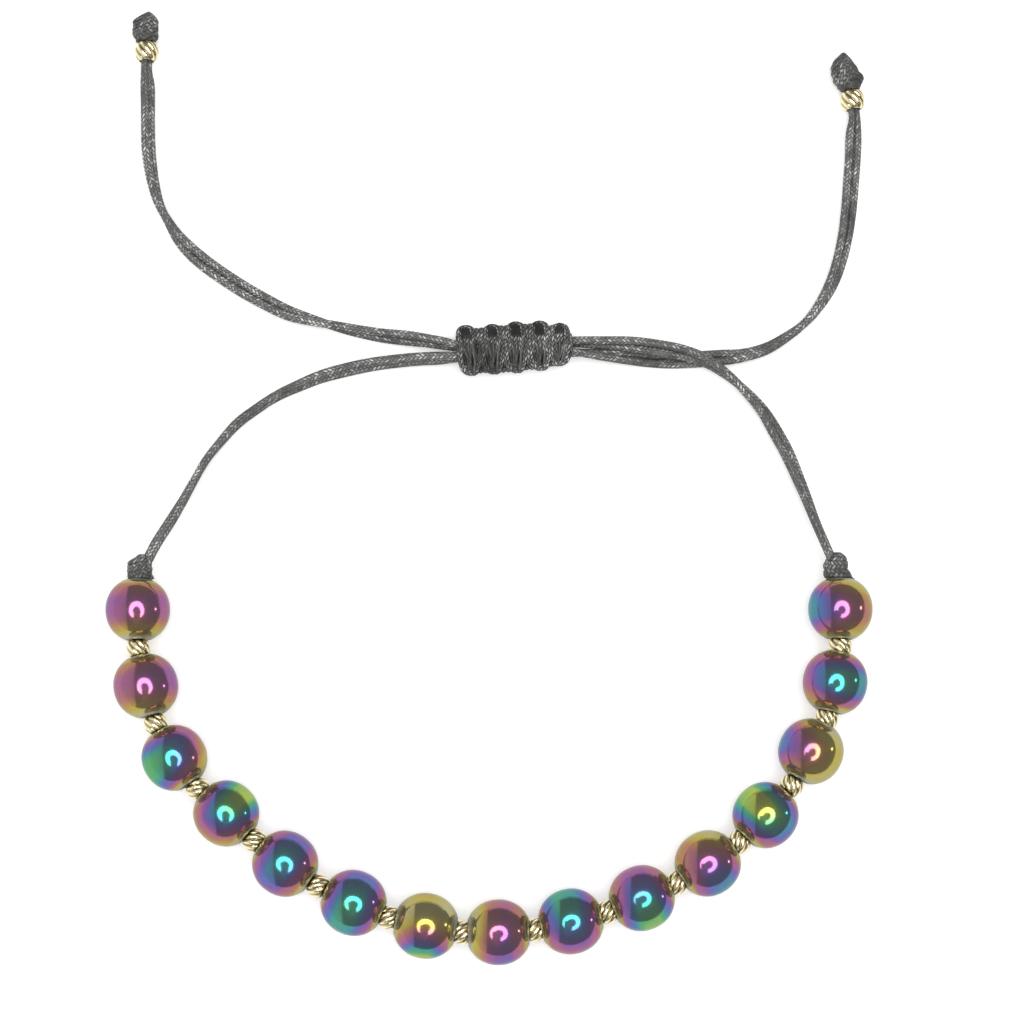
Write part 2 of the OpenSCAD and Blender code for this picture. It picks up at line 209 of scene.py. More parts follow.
def skin(rings, along=None, mark=None, loop=False):
    """A closed skin over rings of points. rings[i, j] is point j of ring i, and each ring closes on itself.
    The row of rings closes on itself too if loop is true, and otherwise a fan of faces round the middle of
    its first and its last ring closes it. The corner pairs are along[i] and the share of the way round.
    The faces are turned to point outwards, by the sign of the volume that they enclose."""
    n, m = rings.shape[:2]
    along = np.arange(n + 1.0) if along is None else np.asarray(along, float)
    mark = np.zeros((n, m)) if mark is None else mark
    points, marks = rings.reshape(-1, 3), mark.reshape(-1)
    i, j = np.meshgrid(np.arange(n if loop else n - 1), np.arange(m), indexing="ij")
    i2, j2 = (i + 1) % n, (j + 1) % m
    quads = np.stack([i * m + j, i * m + j2, i2 * m + j2, i2 * m + j], -1).reshape(-1, 4)
    quad_uv = np.stack([along[i], j / m, along[i], (j + 1) / m, along[i + 1], (j + 1) / m,
                        along[i + 1], j / m], -1).reshape(-1, 4, 2)
    fans, fan_uv = np.zeros((0, 3), int), np.zeros((0, 3, 2))
    if not loop:
        points = np.vstack([points, rings[0].mean(axis=0), rings[-1].mean(axis=0)])
        marks = np.concatenate([marks, [mark[0].mean(), mark[-1].mean()]])
        j = np.arange(m)
        j2 = (j + 1) % m
        fans = np.vstack([np.stack([0 * j + n * m, j2, j], -1),
                          np.stack([0 * j + n * m + 1, (n - 1) * m + j, (n - 1) * m + j2], -1)])
        u0, u1 = along[0] + 0 * j, along[n - 1] + 0 * j
        fan_uv = np.vstack([np.stack([u0, (j + .5) / m, u0, (j + 1) / m, u0, j / m], -1).reshape(-1, 3, 2),
                            np.stack([u1, (j + .5) / m, u1, j / m, u1, (j + 1) / m], -1).reshape(-1, 3, 2)])
    a, b, c, d = (points[quads[:, k]] for k in range(4))
    if (a * np.cross(b, c)).sum() + (a * np.cross(c, d)).sum() < 0:
        quads, quad_uv, fans, fan_uv = quads[:, ::-1], quad_uv[:, ::-1], fans[:, ::-1], fan_uv[:, ::-1]
    return points, quads, fans, quad_uv, fan_uv, marks


def piece(name, made, finish, slot, *nodes, mark="plain"):
    """A smooth-shaded mesh object from a skin in millimetres. It rides on the root and replaces nodes."""
    points, quads, fans, quad_uv, fan_uv, marks = made
    mesh = bpy.data.meshes.new(name)
    corners = np.concatenate([quads.reshape(-1), fans.reshape(-1)])
    starts = np.concatenate([np.arange(len(quads)) * 4, len(quads) * 4 + np.arange(len(fans)) * 3])
    mesh.vertices.add(len(points))
    mesh.vertices.foreach_set("co", (points * MM).astype(np.float32).reshape(-1))
    mesh.loops.add(len(corners))
    mesh.loops.foreach_set("vertex_index", corners.astype(np.int32))
    mesh.polygons.add(len(starts))
    mesh.polygons.foreach_set("loop_start", starts.astype(np.int32))
    mesh.update(calc_edges=True)
    mesh.polygons.foreach_set("use_smooth", np.ones(len(starts), bool))
    uv = mesh.uv_layers.new(name="along_round")
    flat_uv = np.concatenate([quad_uv.reshape(-1), fan_uv.reshape(-1)])
    uv.data.foreach_set("uv", flat_uv.astype(np.float32))
    values = mesh.attributes.new(mark, "FLOAT", "POINT")
    values.data.foreach_set("value", marks.astype(np.float32))
    mesh.validate()
    mesh.materials.append(finish)
    made_object = bpy.data.objects.new(name, mesh)
    bpy.context.scene.collection.objects.link(made_object)
    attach(made_object, "root")
    if nodes:
        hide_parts(*nodes)
    return made_object


# ---------------------------------------------------------------- the braid of the cord
# Yarns each way, the length of a cell, the depth of the pits on a cord and on a thread, the share of it that
# a plain cord loses, and the share by which a radius wavers
YARNS = 8
CELL = 0.41
RELIEF = 0.035
THREAD_RELIEF = 0.03
PLAIN_LOSS = 0.8
SWELLING = 0.03


def braid_crown(along, turn):
    """How high the braid stands, from 0 in its pits to 1 on its crowns. Two families of yarns wind round
    the cord, one each way, and cut its surface into cells. Each yarn lies over two of the other family and
    then under two, so the cells form lengthwise stripes that lean one way and the other, turn about. A
    crown is round across its own yarn and long along it."""
    a, b = YARNS * turn + along / CELL, YARNS * turn - along / CELL
    cell_a, cell_b = np.floor(a), np.floor(b)
    over = np.mod(cell_a + cell_b, 4) < 2
    across = 2 * np.where(over, a - cell_a, b - cell_b) - 1
    run = np.where(over, np.mod(cell_a + b, 4) - 1, np.mod(cell_b + a, 4) - 3)
    return np.sqrt(np.clip(1 - across**2, 0, 1)) * np.sqrt(np.clip(1 - run**4, 0, 1))


def braided_tube(line, toward, radius, around, loop=False, seed=0, start=0.0, relief=RELIEF, plain=0.0):
    """A braided cord along a line of points. Each ring lies square to the line, and it starts and ends on
    the side away from the one that toward names. Its radius is the cord's, less the relief of the braid
    where a pit is. A radius given as one number wavers a little, and one given for each point doesn't.
    The relief fades where the cord is marked plain, 1 or more."""
    if loop:
        wrapped = np.vstack([line[-1:], line, line[:1]])
        tangent = unit(wrapped[2:] - wrapped[:-2])
        steps = np.linalg.norm(np.diff(np.vstack([line, line[:1]]), axis=0), axis=1)
    else:
        tangent = unit(np.gradient(line, axis=0))
        steps = np.linalg.norm(np.diff(line, axis=0), axis=1)
    side = unit(np.cross(tangent, toward))
    up = np.cross(side, tangent)
    along = start + np.concatenate([[0], np.cumsum(steps)])
    if loop:
        along = start + (along - start) * round(along[-1] / CELL) * CELL / along[-1]
    turn = np.arange(around) / around
    u, v = np.meshgrid(along[:len(line)], turn, indexing="ij")
    crown = braid_crown(u, v)
    r = radius * (1 + wander(u, seed, SWELLING)) if np.isscalar(radius) else radius[:, None] * np.ones_like(u)
    plain = np.clip(plain, 0, 2) * np.ones(len(line))
    r = r - relief * (1 - PLAIN_LOSS * np.minimum(plain, 1)[:, None]) * (1 - crown)
    angle = 2 * np.pi * v
    rings = (line[:, None] - r[..., None] * (np.cos(angle)[..., None] * up[:, None]
                                             + np.sin(angle)[..., None] * side[:, None]))
    return skin(rings, along if loop else np.append(along, along[-1]), plain[:, None] * np.ones_like(r), loop)


STOOD_FLOOR = 0.01


def strand_line(route, side):
    """The middle of one strand of a pair. The two strands lie side by side, turned about the pair's own
    way: flat on the table at 0 degrees, one over the other at 90. The lower one rests on the lift. TOUCH
    closes the gap that the source leaves between them. STOOD_FLOOR rounds off the change from one strand
    being the lower to the other. The share of the squeeze at each point comes back too."""
    row = smooth_rows(route, STRAND_STEP)
    way = unit(np.gradient(row[:, :2], axis=0))
    turn, half = np.radians(row[:, 3]), row[:, 4] * PAIR_HALF * TOUCH
    away = side * half * np.cos(turn)
    stood = np.sqrt(np.sin(turn) ** 2 + STOOD_FLOOR)
    return np.stack([row[:, 0] + away * way[:, 1], row[:, 1] - away * way[:, 0],
                     STRAND_R + row[:, 2] + half * (stood + side * np.sin(turn))], -1), row[:, 4]


# ---------------------------------------------------------------- camera
camera = bpy.data.objects.new("camera", bpy.data.cameras.new("camera"))
bpy.context.scene.collection.objects.link(camera)
camera.location = (0.0021, -0.04253, 0.28054)
camera.rotation_euler = (math.radians(8), 0, 0)
camera.data.lens = 105.47
camera.data.sensor_width = 36
camera.data.clip_start = 0.01
camera.data.clip_end = 20
bpy.context.scene.camera = camera


# ---------------------------------------------------------------- finishes
class Value:
    """One value in a finish. Arithmetic on it adds Math nodes."""

    def __init__(self, finish, socket):
        self.finish, self.socket = finish, socket

    def math(self, operation, *values):
        """A Math node on the values. This one takes no part unless it is among them."""
        return self.finish.node("ShaderNodeMath", {"operation": operation}, dict(enumerate(values)))

    def __add__(self, other):
        return self.math("ADD", self, other)

    def __sub__(self, other):
        return self.math("SUBTRACT", self, other)

    def __rsub__(self, other):
        return self.math("SUBTRACT", other, self)

    def __mul__(self, other):
        return self.math("MULTIPLY", self, other)

    def __truediv__(self, other):
        return self.math("DIVIDE", self, other)

    def __pow__(self, other):
        return self.math("POWER", self, other)

    __radd__ = __add__


class Finish:
    """A node material that is being put together."""

    def __init__(self, name, material=None):
        self.material = material or bpy.data.materials.new(name)
        self.material.use_nodes = True
        self.tree = self.material.node_tree
        self.tree.nodes.clear()

    def node(self, kind, settings=None, values=None, out=0):
        """Adds a node: first its settings, a ramp's stops among them, then its sockets' values or links."""
        made = self.tree.nodes.new(kind)
        for name, value in (settings or {}).items():
            if name == "stops":
                while len(made.color_ramp.elements) < len(value):
                    made.color_ramp.elements.new(0.5)
                for element, (place, colour) in zip(made.color_ramp.elements, value):
                    element.position, element.color = place, (*colour, 1)
            else:
                setattr(made, name, value)
        for name, value in (values or {}).items():
            if isinstance(value, Value):
                self.tree.links.new(value.socket, made.inputs[name])
            else:
                made.inputs[name].default_value = value
        return Value(self, made.outputs[out])

    def blend(self, share, first, second):
        """A colour between two."""
        return self.node("ShaderNodeMix", {"data_type": "RGBA"},
                         {0: share, 6: (*first, 1), 7: (*second, 1)}, 2)

    def done(self, **sockets):
        """Ends the finish in one Principled surface. Underscores in a socket's name stand for spaces."""
        named = {name.replace("_", " "): value for name, value in sockets.items()}
        surface = self.node("ShaderNodeBsdfPrincipled", None, named)
        self.node_out(surface)
        return self.material

    def node_out(self, surface, kind="ShaderNodeOutputMaterial"):
        """Links a surface to the finish's output."""
        out = self.tree.nodes.new(kind)
        self.tree.links.new(surface.socket, out.inputs["Surface"])


def braided_cord_finish(name, dark, light, gain, shine):
    """Dark polished yarn in a round braid, with painted highlights and shade. Each stretch of a yarn that lies
    over the others carries a pale stroke of painted highlight, long and bright on some and faint on others,
    and brighter on the top of the cord, as painted top light. The crowns are painted a little paler than
    the pits, a faint painted shade. Where the cord is marked plain, with 1, each stroke gives way to long
    faint streaks of painted sheen, and at 2 these fade too, as painted shade. The gain is how strong both
    are, and the shine is how much the yarn reflects."""
    f = Finish(name)
    uv = f.node("ShaderNodeUVMap", {"uv_map": "along_round"})
    along = f.node("ShaderNodeSeparateXYZ", None, {0: uv})
    turn = f.node("ShaderNodeSeparateXYZ", None, {0: uv}, 1)
    marked = f.node("ShaderNodeAttribute", {"attribute_name": "plain"}, None, 2)
    plain = marked.math("MINIMUM", marked, 1)
    # A mark over 1 is painted shade: it takes away the faint streaks and leaves the cord dark
    painted_shade = marked - plain
    place = f.node("ShaderNodeTexCoord", None, None, 3)
    sway = f.node("ShaderNodeTexNoise", None, {"Vector": place, "Scale": 1100, "Detail": 1})
    lag = f.node("ShaderNodeTexNoise", None, {"Vector": place, "Scale": 700, "Detail": 1})
    a = turn * YARNS + along / CELL + (sway - 0.5) * 1.1
    b = turn * YARNS - along / CELL + (lag - 0.5) * 1.1
    cell_a, cell_b = a.math("FLOOR", a), b.math("FLOOR", b)
    column = cell_a + cell_b
    over = column.math("LESS_THAN", column.math("FLOORED_MODULO", column, 4), 2)
    across = ((a - cell_a) * over + (b - cell_b) * (1 - over)) * 2 - 1
    run = ((a.math("FLOORED_MODULO", cell_a + b, 4) - 1) * over
           + (a.math("FLOORED_MODULO", cell_b + a, 4) - 3) * (1 - over))
    width = (1 - across * across).math("MAXIMUM", 1 - across * across, 0)
    length = (1 - run * run).math("MAXIMUM", 1 - run * run, 0)
    crown = width ** 0.7 * length ** 0.4
    stroke = width ** 2.2 * length ** 1.2
    # Each stroke draws its own brightness, by the cell that it lies in
    own = f.node("ShaderNodeCombineXYZ", None, {0: cell_a * over + cell_b * (1 - over),
                                                1: a.math("FLOOR", column / 4), 2: over})
    chance = f.node("ShaderNodeTexWhiteNoise", {"noise_dimensions": "3D"}, {0: own})
    lint = f.node("ShaderNodeTexNoise", None, {"Vector": place, "Scale": 900, "Detail": 3, "Roughness": 0.6})
    patches = f.node("ShaderNodeTexNoise", None, {"Vector": place, "Scale": 260, "Detail": 2})
    filaments = across.math("SINE", across * 8) * 0.5 + 0.5
    # Painted top light, brightest half way round each ring, on the top of the cord
    painted_top_light = turn.math("COSINE", turn * (2 * math.pi)) * -0.5 + 0.5
    lit = (patches * 3.0 - 0.9).math("MAXIMUM", patches * 3.0 - 0.9, 0.15)
    bright = (chance * chance * 0.9 + 0.12) * (filaments * 0.4 + 0.7)
    # Painted highlights: a pale stroke on each stretch of yarn that lies over the others, stronger in some
    # patches
    painted_highlights = stroke * bright * (painted_top_light * 0.8 + 0.25) * lit
    long_way = f.node("ShaderNodeCombineXYZ", None, {0: along * 0.35, 1: turn * 9})
    streaks = f.node("ShaderNodeTexNoise", {"noise_dimensions": "2D"},
                     {"Vector": long_way, "Scale": 2, "Detail": 2})
    # Painted sheen on plain cord: long faint streaks, brighter on the top
    faint = (streaks * 1.5 - 0.62) * (painted_top_light * 0.7 + 0.3)
    # All the painted highlight and sheen, at the gain
    pale = (painted_highlights * (1 - plain) + faint * (plain * 0.26 + 0.14) * (1 - painted_shade)) * gain
    # The small share of the crowns paints the pits a little darker, a faint painted shade
    shade = f.node("ShaderNodeMapRange", None, {0: pale + crown * 0.02 + (lint - 0.5) * 0.06})
    colour = f.blend(shade, dark, light)
    height = crown * (1 - plain * 0.8) + filaments * crown * 0.12
    bump = f.node("ShaderNodeBump", None, {"Strength": 0.6, "Distance": 0.00006, "Height": height})
    return f.done(Base_Color=colour, Roughness=0.45 + lint * 0.2, Normal=bump, Specular_IOR_Level=shine)


# Colours of the coating as it grows thicker: bare metal, olive, gold, tan, pink, magenta, violet, indigo,
# blue, teal, green, lime and gold again
FILM = [(0.0, (0.48, 0.48, 0.44)), (0.5, (0.35, 0.32, 0.14)), (0.9, (0.36, 0.29, 0.02)),
        (1.25, (0.33, 0.16, 0.04)), (1.6, (0.30, 0.09, 0.10)), (2.0, (0.27, 0.06, 0.19)),
        (2.4, (0.15, 0.05, 0.26)), (2.75, (0.07, 0.08, 0.32)), (3.1, (0.03, 0.13, 0.28)),
        (3.5, (0.01, 0.22, 0.20)), (4.0, (0.04, 0.28, 0.09)), (4.5, (0.28, 0.38, 0.03)),
        (5.0, (0.38, 0.30, 0.02))]
FILM_TOP = 5.0
RIM_TINT = (0.62, 0.66, 0.62, 1)


def coated_bead_finish():
    """Polished metal under a thin coating. The thickness of the coating, from 0 to 5, picks its colour and
    is a little cloudy. Where it is all but worn off, at the hole ends, the metal is rougher and greyer. A
    tenth of the metal glows softly round each reflection, the rims take a tint of their own, and a faint
    grey haze lies over it all."""
    f = Finish("bead_coating_of_changing_colours")
    film = f.node("ShaderNodeAttribute", {"attribute_name": "film"}, None, 2)
    place = f.node("ShaderNodeTexCoord", None, None, 3)
    clouds = f.node("ShaderNodeTexNoise", None, {"Vector": place, "Scale": 420, "Detail": 3})
    grain = f.node("ShaderNodeTexNoise", None, {"Vector": place, "Scale": 2600, "Detail": 2})
    stops = [(stop / FILM_TOP, colour) for stop, colour in FILM]
    colour = f.node("ShaderNodeValToRGB", {"stops": stops}, {0: (film + clouds * 0.5 - 0.25) / FILM_TOP})
    bare = f.node("ShaderNodeMapRange", None, {0: film, 1: 0.52, 2: 0.38, 3: 0, 4: 1})
    bump = f.node("ShaderNodeBump", None, {"Strength": 0.10, "Distance": 0.00002, "Height": grain})
    metal = f.node("ShaderNodeBsdfPrincipled", None, {
        "Base Color": colour, "Metallic": 1.0, "Roughness": 0.09 + clouds * 0.08 + bare * 0.25, "Normal": bump,
        "Specular Tint": RIM_TINT, "Coat Weight": 0.3, "Coat Roughness": 0.03})
    soft = f.node("ShaderNodeBsdfPrincipled", None, {
        "Base Color": colour, "Metallic": 1.0, "Roughness": 0.55, "Specular Tint": RIM_TINT})
    glowing = f.node("ShaderNodeMixShader", None, {0: 0.1, 1: metal, 2: soft})
    haze = f.node("ShaderNodeBsdfPrincipled", None, {
        "Base Color": (0.5, 0.5, 0.49, 1), "Roughness": 0.8, "Normal": bump, "Specular IOR Level": 0.0})
    f.node_out(f.node("ShaderNodeMixShader", None, {0: bare * 0.16 + 0.075, 1: glowing, 2: haze}))
    return f.material


def gold_finish():
    """Pale yellow gold: bright on the cut ridges and dark brown in the grooves."""
    f = Finish("twisted_gold")
    depth = f.node("ShaderNodeAttribute", {"attribute_name": "depth"}, None, 2)
    place = f.node("ShaderNodeTexCoord", None, None, 3)
    scratches = f.node("ShaderNodeTexNoise", None, {"Vector": place, "Scale": 2200, "Detail": 3})
    colour = f.blend(depth ** 1.3, (0.085, 0.06, 0.028), (0.88, 0.77, 0.47))
    bump = f.node("ShaderNodeBump", None, {"Strength": 0.15, "Distance": 0.00003, "Height": scratches})
    return f.done(Base_Color=colour, Metallic=1.0, Roughness=0.16 + scratches * 0.2, Normal=bump)


# The same cord, with painted shade: darker in the knots and darkest in the slider, where its windings shade
# each other
cord_finish, knot_finish, end_knot_finish, slider_finish = (braided_cord_finish(*look) for look in (
    ("dark_braided_cord", (0.046, 0.046, 0.044), (0.74, 0.74, 0.71), 1.3, 0.3),
    ("dark_knotted_cord", (0.025, 0.025, 0.024), (0.68, 0.68, 0.66), 1.25, 0.3),
    ("dark_end_knot_cord", (0.021, 0.021, 0.02), (0.76, 0.76, 0.74), 1.5, 0.3),
    ("dark_slider_cord", (0.008, 0.008, 0.0075), (0.85, 0.85, 0.83), 1.15, 0.14)))
coating_finish = coated_bead_finish()
gold = gold_finish()

# ---------------------------------------------------------------- places of the beads
bead_middles = [np.array([-32.7, -12.7, 3.0])]
for heading, slack in zip(HEADINGS[1:-1], SLACKS):
    bead_middles.append(past(bead_middles[-1], heading, SNUG_PITCH + slack))
bead_headings = [(before + after) / 2 for before, after in zip(HEADINGS, HEADINGS[1:])]
hole_ends = [[past(middle, heading, side * BEAD_LENGTH / 2) for side in (-1, 1)]
             for middle, heading in zip(bead_middles, bead_headings)]
# Where each knot starts, and its heading
KNOT_BASES = {
    "stop_left": (past(hole_ends[0][0], bead_headings[0] + 180, ROOM), bead_headings[0] + 180),
    "stop_right": (past(hole_ends[-1][1], bead_headings[-1], ROOM), bead_headings[-1]),
    **{f"end_{side}": (past(place, heading, END_BEAD_LENGTH / 2 + ROOM), heading)
       for side, (place, heading) in END_BEADS.items()},
}


# ---------------------------------------------------------------- knots, wound from the same cord
WINDING_PITCH = 0.76
GROOVE = 0.17
LUMP = 0.05
CREST = 0.04
NOT_MELTED = 99
MELT_RUN = 0.5


def knot_skin(base, heading, sections, leans, seed, melted_from):
    """A knot with the outline of its sections, each with a place along it, half a width, half a height and a
    shift to the right. The windings show as round ridges. A ridge lies where the place along, moved by
    waves round the knot, falls in the middle of a pitch, and the grooves between them are the edges of a
    circle. Low lumps lie over them, and both shrink where half the width is under 0.9 mm. The crests stand
    up to CREST outside the sections. Past melted_from the windings fade into a smooth tip, over MELT_RUN.
    The corner pairs run along the ridges, and the whole way round is a whole number of the braid's cells."""
    ahead, right = directions(heading)
    section = smooth_rows(sections, KNOT_STEP, 1)
    s, t = np.meshgrid(section[:, 0], angles(KNOT_SIDES), indexing="ij")
    draw = np.random.default_rng(seed)
    waves = sum(lean * np.sin(k * t + draw.uniform(0, 6)) for k, lean in enumerate(leans, 1))
    w = (s + waves) / WINDING_PITCH
    ridge = np.sqrt(np.clip(1 - (2 * (w - np.floor(w)) - 1) ** 2, 0, 1))
    lumps = sum(np.sin(p * s + q * t + draw.uniform(0, 6)) for p, q in ((3, 2), (5, -3), (2, 5))) / 3
    melt = np.clip((s - melted_from) / MELT_RUN, 0, 1)
    narrow = np.minimum(1, section[:, 1:2] / 0.9)
    depth = (GROOVE * (1 - ridge) * (1 - melt) + LUMP * (lumps + 1) / 2) * narrow - CREST
    half_w, half_h, shift = (section[:, k:k + 1] for k in (1, 2, 3))
    out_right, out_up = np.sin(t), -np.cos(t)
    rings = (base + s[..., None] * ahead + (shift + (half_w - depth) * out_right)[..., None] * right
             + ((half_h - depth) * out_up)[..., None] * [0, 0, 1])
    made = skin(rings, None, melt)
    cells = 5.0 * CELL
    girth = cells * np.ceil(2 * np.pi * np.mean(half_w) / cells)
    own_uv = np.concatenate([np.stack([t / (2 * np.pi) * girth, w / 4], -1).reshape(-1, 2), [[0, 0], [0, 0]]])
    quad_uv, fan_uv = own_uv[made[1]], own_uv[made[2]]
    over_seam = (quad_uv[..., 0].max(axis=1) - quad_uv[..., 0].min(axis=1)) > girth / 2
    quad_uv[over_seam, :, 0] += np.where(quad_uv[over_seam, :, 0] < girth / 2, girth, 0)
    return (*made[:3], quad_uv, fan_uv, made[5])


LEFT_STOP = [[0, 1.22, 1.17, .34], [.4, 1.18, 1.15, .27], [.7, 1.18, 1.2, .19], [.95, 1.17, 1.1, .27],
             [1.25, 1.18, 1.15, .26], [1.55, 1.12, 1.1, .2], [1.85, .88, .95, .34], [2.1, .54, .7, .44],
             [2.3, .26, .4, .43]]
RIGHT_STOP = [[0, 1.44, 1.19, -.18], [.4, 1.32, 1.15, -.36], [.7, 1.24, 1.1, -.47], [1.05, 1.17, 1.15, -.55],
              [1.35, 1.14, 1.15, -.54], [1.6, 1.1, 1.1, -.5], [1.85, .96, 1, -.48], [2.15, .72, .8, -.46],
              [2.4, .4, .5, -.42]]
LEFT_END = [[0, .99, .95, -.08], [.45, 1.18, 1.05, -.09], [1, 1.28, 1.08, -.19], [1.4, 1.22, 1.04, -.15],
            [1.75, 1.28, 1.08, -.18], [2.12, 1.14, 1, -.12], [2.45, .8, .85, .01], [2.74, .42, .5, .1],
            [2.94, .12, .2, .14]]
RIGHT_END = [[0, .95, .9, -.12], [.35, 1.12, 1.04, -.16], [.95, 1.47, 1.08, -.15], [1.35, 1.47, 1.08, -.2],
             [1.7, 1.38, 1.06, -.35], [2.2, 1.28, 1.04, -.47], [2.7, 1.04, .9, -.51], [3.1, .78, .7, -.49],
             [3.45, .44, .42, -.39], [3.75, .14, .15, -.32]]

# Each knot: the node it replaces, its sections, how far its windings lean, once and twice and three times
# round, and where its melted tip starts
knots = {}
for name, node, sections, leans, melted_from in (
        ("stop_left", "stop_knot_left", LEFT_STOP, (0.35, 0.22, 0.10), NOT_MELTED),
        ("stop_right", "stop_knot_right", RIGHT_STOP, (0.12, 0.14, 0.05), NOT_MELTED),
        ("end_left", "end_knot_left", LEFT_END, (0.45, 0.25, 0.12), 1.9),
        ("end_right", "end_knot_right", RIGHT_END, (0.5, 0.3, 0.12), 2.5)):
    base, heading = KNOT_BASES[name]
    made = knot_skin(base, heading, sections, leans, len(knots) + 5, melted_from)
    finish = knot_finish if melted_from == NOT_MELTED else end_knot_finish
    knots[name] = piece("wound_" + node, made, finish, "cord", node)


# ---------------------------------------------------------------- gold beads
RIDGES = 8
BARREL_END = 0.65
GOLD_GROOVE = 0.16


def twisted_bead_skin(middle, heading, d, length, bore_r, turn):
    """A small bead with ridges wound round a barrel, each by a quarter of a turn from end to end. Its
    radius falls to the share BARREL_END at both ends, and between the ridges by a groove that follows a
    power of a cosine and is shallower at the ends. The hole runs through it, so the row of rings closes
    on itself."""
    u = np.sin(np.linspace(-np.pi / 2, np.pi / 2, 37))
    grid_u, grid_t = np.meshgrid(u, angles(GOLD_SIDES), indexing="ij")
    barrel = d / 2 * (BARREL_END + (1 - BARREL_END) * (1 - grid_u**2) ** 0.65)
    phase = RIDGES * (grid_t - math.radians(90) * grid_u / 2 + turn)
    crest = np.abs(np.cos(phase / 2)) ** 0.55
    r = barrel * (1 - GOLD_GROOVE * (1 - crest) * (1 - 0.6 * np.abs(grid_u) ** 3))
    inside_u = np.linspace(1, -1, 6)
    inside = np.full((len(inside_u), GOLD_SIDES), bore_r)
    along = np.concatenate([u * length / 2, inside_u * length / 2])
    radii = np.vstack([r, inside])
    marks = np.vstack([crest, 0 * inside])
    return skin(middle + circles(heading, along, radii), None, marks, True)


for i, ((_, start), (end, _)) in enumerate(zip(hole_ends, hole_ends[1:])):
    heading = math.degrees(math.atan2(*(end - start)[1::-1]))
    made = twisted_bead_skin((start + end) / 2, heading, SPACER_D, SPACER_LENGTH, HOLE_R, 0.37 * i)
    piece(f"twisted_bead_{i + 1:02d}", made, gold, "gold", f"spacer_{i + 1:02d}", mark="depth")
for side, (place, heading) in END_BEADS.items():
    made = twisted_bead_skin(np.array(place), heading, END_BEAD_D, END_BEAD_LENGTH, END_BORE_R, 0.2)
    piece(f"twisted_end_bead_{side}", made, gold, "gold", f"end_bead_{side}", mark="depth")

# ---------------------------------------------------------------- the four strands
# How much further along each strand's braid starts, so that no two show the same strokes
STRAND_SHIFT, PAIR_SHIFT = 13.7, 51.1
for pair, route, far in (("left", LEFT_ROUTE, "right"), ("right", RIGHT_ROUTE, "left")):
    for letter, side in (("a", 1), ("b", -1)):
        line, squeeze = strand_line(route, side)
        made = braided_tube(line, np.array([[0, 0, 1.0]]), STRAND_R * squeeze, STRAND_SIDES,
                            start=STRAND_SHIFT * (side + 1) + PAIR_SHIFT * (pair == "right"))
        strand = piece(f"{pair}_cord_{letter}", made, cord_finish, "cord", f"{pair}_strand_{letter}")
        line[0] * MM
        (line[::4] * MM).tolist()

# The two threads that run through the beads, from inside one stop knot to inside the other
INTO_KNOT = 0.4
row = smooth_rows([past(*KNOT_BASES["stop_left"], INTO_KNOT), *[end for ends in hole_ends for end in ends],
                   past(*KNOT_BASES["stop_right"], INTO_KNOT)], THREAD_STEP, 3)
way = unit(np.gradient(row, axis=0))
for letter, side in (("a", 1), ("b", -1)):
    line = row + side * THREAD_HALF * np.stack([way[:, 1], -way[:, 0], 0 * way[:, 0]], -1)
    made = braided_tube(line, np.array([[0, 0, 1.0]]), THREAD_R, THREAD_SIDES, relief=THREAD_RELIEF)
    piece(f"thread_in_beads_{letter}", made, cord_finish, "cord", f"bead_thread_{letter}")


# ---------------------------------------------------------------- round beads
# Towards a hole end the coating loses the share THIN_LOSS between two shares of the way, and wears down to
# WORN_FILM between two more
THINNING, WEARING = (0.25, 0.7), (0.72, 1)
THIN_LOSS, WORN_FILM = 0.3, 0.35


def round_bead_skin(middle, heading, film):
    """A round bead with flat, eased hole ends. Along the hole, the radius and the share of the way to its
    reach, each to a power a little over 2, add up to one. The coating's thickness runs smoothly between
    five values, at the middle of the top, left, right, far and near side. Towards the hole ends it thins
    and then wears off, each by an eased step."""
    half = BEAD_LENGTH / 2
    reach = half / (1 - (BEAD_FLAT_R / BEAD_R) ** BEAD_FULLNESS) ** (1 / BEAD_FULLNESS)
    u = half * np.sin(np.linspace(-np.pi / 2, np.pi / 2, 61))
    r = BEAD_R * (1 - np.abs(u / reach) ** BEAD_FULLNESS) ** (1 / BEAD_FULLNESS)
    # The rounded mouth of the hole, as places along and radii
    lip = np.array([[half, 1.19], [half - 0.02, 1.15], [half - 0.14, 1.02], [half - 0.48, HOLE_R]])
    u = np.concatenate([u, lip[:, 0], [0], -lip[::-1, 0]])
    r = np.concatenate([r, lip[:, 1], [HOLE_R], lip[::-1, 1]])
    offset = circles(heading, u, np.repeat(r[:, None], BEAD_SIDES, axis=1))
    facing = unit(offset)
    x, y, z = facing[..., 0], facing[..., 1], facing[..., 2]
    middle_film, left, right_film, far, near = film
    thickness = (middle_film + (right_film - left) / 2 * x + (far - near) / 2 * y
                 + ((right_film + left) / 2 - middle_film) * x**2 + ((far + near) / 2 - middle_film) * y**2)
    thin, worn = (np.clip((np.abs(u) / half - start) / (end - start), 0, 1)[:, None]
                  for start, end in (THINNING, WEARING))
    thickness = thickness * (1 - THIN_LOSS * (3 * thin**2 - 2 * thin**3))
    thickness = thickness + (WORN_FILM - thickness) * (3 * worn**2 - 2 * worn**3)
    return skin(middle + offset, None, np.clip(thickness, 0, FILM_TOP), True)


